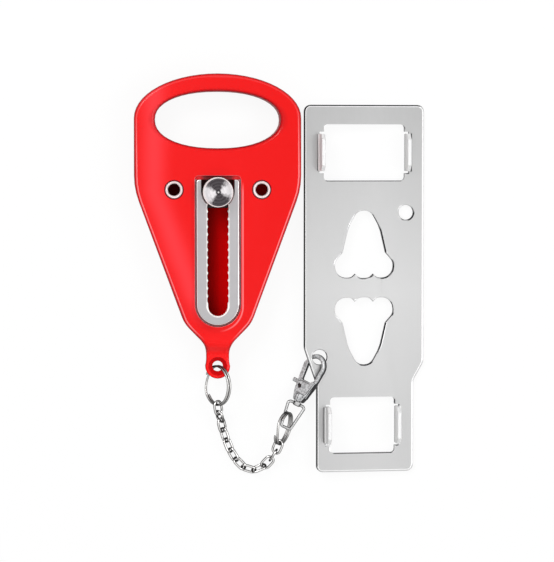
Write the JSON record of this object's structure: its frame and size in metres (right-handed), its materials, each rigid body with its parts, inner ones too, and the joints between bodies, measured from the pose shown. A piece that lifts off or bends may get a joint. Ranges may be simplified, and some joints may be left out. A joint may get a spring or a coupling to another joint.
{
  "type": "portable door lock",
  "caption": "Portable door lock: red handle with an indexing knob on a scalloped track, chain, trigger clasp and flat claw plate with pawn-shaped holes",
  "frame": {"origin": "on the handle's back face, on its centre line and level with the two rivets", "axes": "+X across the handle to the right, +Y along it from the tail to the grip, +Z out of its front; the lock lies on a table at Z = 0"},
  "size_m": [0.1106, 0.1524, 0.019],
  "materials": {
    "red_plastic": "glossy red moulding",
    "satin_steel": "satin sheet steel",
    "bright_steel": "bright plated steel",
    "turned_steel": "turned steel with concentric marks",
    "spring_steel": "dark spring and screw steel"
  },
  "bodies": {
    "handle": {"handle_body": "red_plastic", "back_cover": "red_plastic", "cover_screw_1": "spring_steel", "cover_screw_2": "spring_steel", "cover_screw_3": "spring_steel", "cover_screw_4": "spring_steel", "track_plate": "satin_steel", "rivet_left": "bright_steel", "rivet_right": "bright_steel"},
    "carriage": {"knob_carriage": "bright_steel"},
    "knob": {"knob_head": "turned_steel", "knob_stem": "bright_steel", "knob_clip": "spring_steel", "knob_spring": "spring_steel"},
    "first_ring": {"tail_ring": "bright_steel"},
    "link_01": {"chain_link_01": "bright_steel"},
    "link_02": {"chain_link_02": "bright_steel"},
    "link_03": {"chain_link_03": "bright_steel"},
    "link_04": {"chain_link_04": "bright_steel"},
    "link_05": {"chain_link_05": "bright_steel"},
    "link_06": {"chain_link_06": "bright_steel"},
    "link_07": {"chain_link_07": "bright_steel"},
    "link_08": {"chain_link_08": "bright_steel"},
    "link_09": {"chain_link_09": "bright_steel"},
    "link_10": {"chain_link_10": "bright_steel"},
    "link_11": {"chain_link_11": "bright_steel"},
    "link_12": {"chain_link_12": "bright_steel"},
    "second_ring": {"clasp_ring": "bright_steel"},
    "eye": {"swivel_eye": "bright_steel"},
    "clasp": {"clasp_body": "bright_steel", "lever_pin": "spring_steel", "lever_spring": "spring_steel"},
    "gate": {"clasp_lever": "bright_steel"},
    "plate": {"claw_plate": "satin_steel"}
  },
  "joints": [
    {"name": "knob_slide", "type": "slide", "parent": "handle", "child": "carriage", "axis": [0, 1, 0], "range_m": [-0.0348, 0]},
    {"name": "knob_lift", "type": "slide", "parent": "carriage", "child": "knob", "axis": [0, 0, 1], "range_m": [0, 0.002], "stiffness_N_per_m": 300, "springref_m": -0.002, "deforming": ["knob_spring"]},
    {"name": "tail_ring_swing", "type": "hinge", "parent": "handle", "child": "first_ring", "pos_m": [0, -0.0669, 0.007], "axis": [0.5592, 0, 0.829], "range_deg": [-28, 0]},
    {"name": "chain_turn_00", "type": "hinge", "parent": "first_ring", "child": "link_01", "pos_m": [0, -0.0818, 0.007], "axis": [0.5592, 0, 0.829], "range_deg": [-20, 0]},
    {"name": "chain_lift_01", "type": "hinge", "parent": "link_01", "child": "link_02", "pos_m": [0.00057, -0.08483, 0.00596], "axis": [-0.977, -0.2132, 0], "range_deg": [-12, 12]},
    {"name": "chain_turn_02", "type": "hinge", "parent": "link_02", "child": "link_03", "pos_m": [0.00125, -0.08795, 0.00332], "axis": [0, 0, 1], "range_deg": [-20, 0]},
    {"name": "chain_lift_03", "type": "hinge", "parent": "link_03", "child": "link_04", "pos_m": [0.00224, -0.09176, 0.002], "axis": [-0.9534, -0.3017, 0], "range_deg": [-12, 12]},
    {"name": "chain_turn_04", "type": "hinge", "parent": "link_04", "child": "link_05", "pos_m": [0.00349, -0.09572, 0.002], "axis": [0, 0, 1], "range_deg": [-20, 0]},
    {"name": "chain_lift_05", "type": "hinge", "parent": "link_05", "child": "link_06", "pos_m": [0.00506, -0.09956, 0.002], "axis": [-0.8662, -0.4997, 0], "range_deg": [-12, 12]},
    {"name": "chain_turn_06", "type": "hinge", "parent": "link_06", "child": "link_07", "pos_m": [0.00713, -0.10315, 0.002], "axis": [0, 0, 1], "range_deg": [-20, 0]},
    {"name": "chain_lift_07", "type": "hinge", "parent": "link_07", "child": "link_08", "pos_m": [0.01004, -0.10612, 0.002], "axis": [-0.294, -0.9558, 0], "range_deg": [-12, 12]},
    {"name": "chain_turn_08", "type": "hinge", "parent": "link_08", "child": "link_09", "pos_m": [0.014, -0.10734, 0.002], "axis": [0, 0, 1], "range_deg": [-20, 0]},
    {"name": "chain_lift_09", "type": "hinge", "parent": "link_09", "child": "link_10", "pos_m": [0.01785, -0.10578, 0.002], "axis": [0.7454, -0.6667, 0], "range_deg": [-12, 12]},
    {"name": "chain_turn_10", "type": "hinge", "parent": "link_10", "child": "link_11", "pos_m": [0.0205, -0.10282, 0.00318], "axis": [0, 0, 1], "range_deg": [-20, 0]},
    {"name": "chain_lift_11", "type": "hinge", "parent": "link_11", "child": "link_12", "pos_m": [0.02213, -0.09982, 0.00554], "axis": [0.9307, -0.3658, 0], "range_deg": [-12, 12]},
    {"name": "clasp_ring_swing", "type": "hinge", "parent": "link_12", "child": "second_ring", "pos_m": [0.02328, -0.09692, 0.00647], "axis": [-0.389, 0.1189, 0.9135], "range_deg": [-16, 0]},
    {"name": "eye_swing", "type": "hinge", "parent": "second_ring", "child": "eye", "pos_m": [0.0262, -0.0865, 0.0045], "axis": [0, 0, 1], "range_deg": [-10, 0]},
    {"name": "clasp_swivel", "type": "hinge", "parent": "eye", "child": "clasp", "pos_m": [0.03081, -0.08072, 0.0047], "axis": [0.4321, 0.9018, 0], "range_deg": [-70, 70]},
    {"name": "gate_swing", "type": "hinge", "parent": "clasp", "child": "gate", "pos_m": [0.03217, -0.07505, 0.00367], "axis": [-0.5797, 0.2777, 0.766], "range_deg": [0, 28], "stiffness_Nm_per_rad": 0.01, "springref_deg": -20.05},
    {"name": "plate_swing", "type": "hinge", "parent": "clasp", "child": "plate", "pos_m": [0.03887, -0.0639, 0.0047], "axis": [0.4321, 0.9018, 0], "range_deg": [0, 50]}
  ]
}
